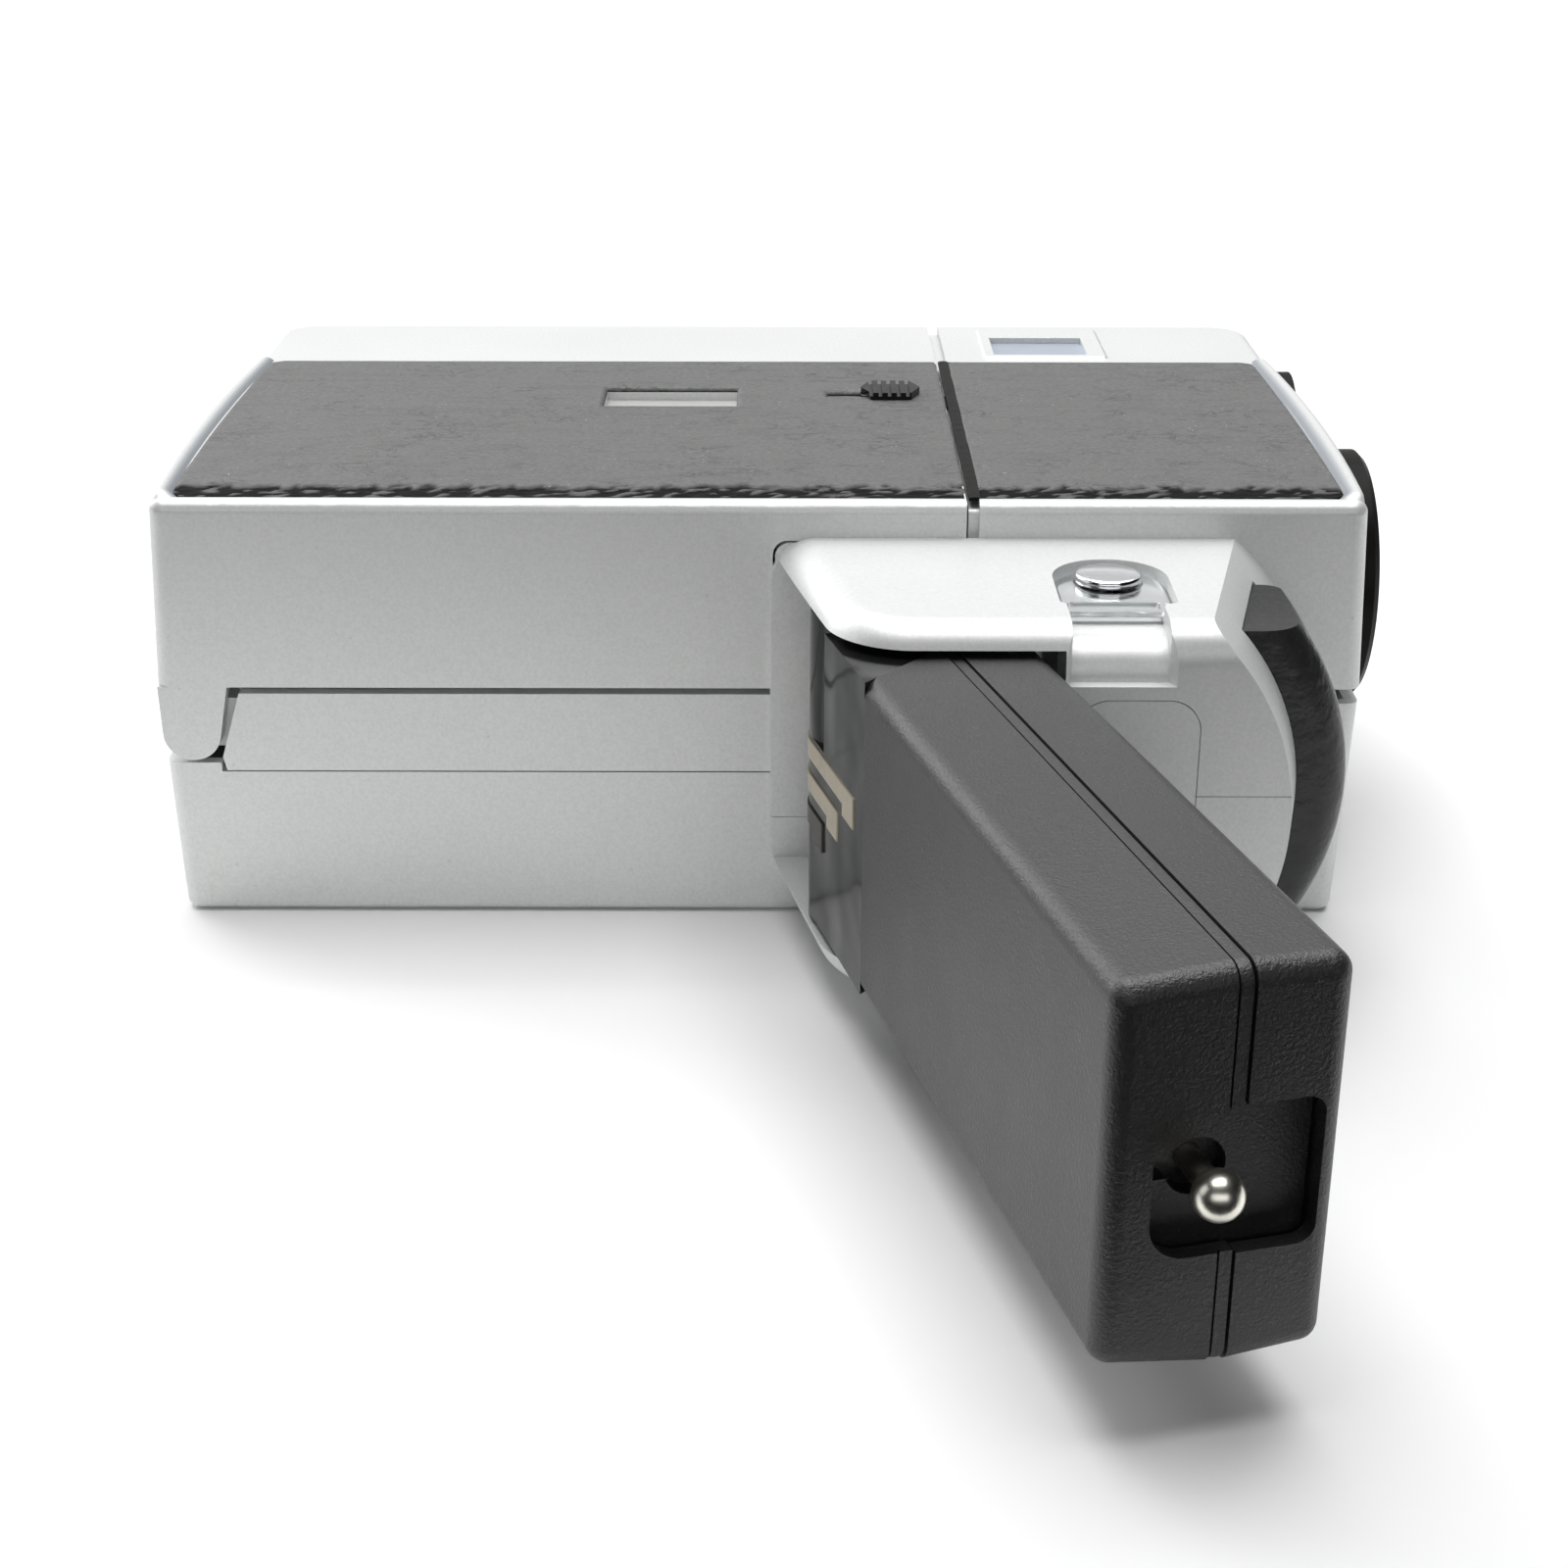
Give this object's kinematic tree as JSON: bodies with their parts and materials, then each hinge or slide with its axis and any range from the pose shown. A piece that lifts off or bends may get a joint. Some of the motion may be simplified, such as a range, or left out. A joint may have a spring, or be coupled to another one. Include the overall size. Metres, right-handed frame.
{
  "type": "movie camera",
  "caption": "Compact cartridge film movie camera, a flat metal case with leatherette panels, a side film door and a folding pistol grip under a hinge housing with a curved trigger.",
  "frame": {"origin": "centre of the left side's rest face, under the middle of the body covers", "axes": "+X to the lens, +Y to the camera's top, +Z out through its right side, so it lies on its left side as in the picture"},
  "size_m": [0.1703, 0.2229, 0.0606],
  "materials": {
    "silver_paint": "satin silver paint",
    "inner_paint": "matt black paint",
    "leatherette": "grained black leatherette",
    "black_gloss": "glossy black plastic",
    "black_texture": "fine textured black plastic",
    "black_ring": "smooth black enamel",
    "chrome": "polished",
    "steel": "brushed",
    "brass": "pale brushed",
    "glass": "coated glass",
    "badge": "pale blue-grey",
    "cell_wrap": "plain wrapped cell",
    "white_plastic": "plain"
  },
  "bodies": {
    "camera": {"left_frame": "silver_paint", "left_panel": "silver_paint", "left_leather": "leatherette", "panel_screws": "steel", "chassis": "silver_paint", "front_cover": "silver_paint", "front_leather": "leatherette", "badge_frame": "silver_paint", "badge_field": "badge", "door_pins": "steel", "film_gate": "steel", "lens_barrel": "black_ring", "lens_front_glass": "glass", "lens_middle_glass": "glass", "lens_rear_glass": "glass", "meter_hood": "black_ring", "meter_window": "glass", "eyepiece": "black_ring", "eyepiece_glass": "glass", "finder_tube": "inner_paint", "finder_box": "inner_paint", "housing_right": "silver_paint", "housing_left": "silver_paint", "tripod_plate": "silver_paint", "tripod_socket": "steel", "strap_plate": "chrome", "trigger_switch": "black_texture", "trigger_springs": "steel", "grip_pin": "steel", "motor": "steel", "drive_bracket": "steel", "spindle_bearing": "brass"},
    "door": {"film_door": "silver_paint", "door_leather": "leatherette", "door_window": "glass", "door_hinge_bar": "silver_paint", "film_spring": "steel", "latch_guide": "steel"},
    "latch": {"latch_button": "black_gloss", "latch_bolt": "steel"},
    "focus": {"focus_ring": "black_ring"},
    "grip": {"hinge_barrel": "black_gloss", "grip_hinge": "black_gloss", "contact_strips": "brass", "grip_shell": "black_texture", "grip_end_plate": "black_texture", "battery_cell_1": "cell_wrap", "battery_cell_2": "cell_wrap", "cell_tray": "black_texture", "end_contact": "brass"},
    "battery_door": {"battery_cover": "black_texture"},
    "stud": {"grip_end_stud": "brass"},
    "trigger": {"trigger": "black_gloss"},
    "lock": {"lock_button": "chrome"},
    "spindle": {"take_up_spindle": "white_plastic"},
    "pinion": {"motor_pinion": "brass"},
    "shutter": {"shutter_disc": "inner_paint", "shutter_gear": "white_plastic"}
  },
  "joints": [
    {"name": "grip_fold", "type": "hinge", "parent": "camera", "child": "grip", "pos_m": [0.015, -0.0695, 0.03], "axis": [0, 0, 1], "range_deg": [-104.8, 0]},
    {"name": "door_swing", "type": "hinge", "parent": "camera", "child": "door", "pos_m": [-0.0768, 0, 0.0274], "axis": [0, -1, 0], "range_deg": [0, 95]},
    {"name": "latch_slide", "type": "slide", "parent": "door", "child": "latch", "axis": [-1, 0, 0], "range_m": [0, 0.005], "stiffness_N_per_m": 150, "springref_m": -0.002},
    {"name": "focus_turn", "type": "hinge", "parent": "camera", "child": "focus", "pos_m": [0.085, -0.0075, 0.0354], "axis": [1, 0, 0], "range_deg": [0, 200]},
    {"name": "trigger_press", "type": "slide", "parent": "camera", "child": "trigger", "axis": [-1, 0, 0], "range_m": [0, 0.003], "stiffness_N_per_m": 400, "springref_m": -0.002, "deforming": ["trigger_springs"]},
    {"name": "lock_button_press", "type": "slide", "parent": "camera", "child": "lock", "axis": [0, 0, -1], "range_m": [0, 0.001], "stiffness_N_per_m": 600, "springref_m": -0.001},
    {"name": "end_stud_press", "type": "slide", "parent": "grip", "child": "stud", "axis": [-0.2554, 0.9668, 0], "range_m": [0, 0.0015], "stiffness_N_per_m": 600, "springref_m": -0.001},
    {"name": "battery_cover_slide", "type": "slide", "parent": "grip", "child": "battery_door", "axis": [0.2554, -0.9668, 0], "range_m": [0, 0.025]},
    {"name": "take_up_spin", "type": "hinge", "parent": "camera", "child": "spindle", "pos_m": [-0.022, -0.011, 0.025], "axis": [0, 0, 1], "continuous": true},
    {"name": "shutter_spin", "type": "hinge", "parent": "camera", "child": "shutter", "pos_m": [0.02, 0.0045, 0.0234], "axis": [1, 0, 0], "continuous": true},
    {"name": "motor_spin", "type": "hinge", "parent": "camera", "child": "pinion", "pos_m": [0.023, -0.01662, 0.012], "axis": [1, 0, 0], "continuous": true}
  ],
  "couplings": [
    {"joint": "motor_spin", "follows": "shutter_spin", "ratio": -4}
  ]
}
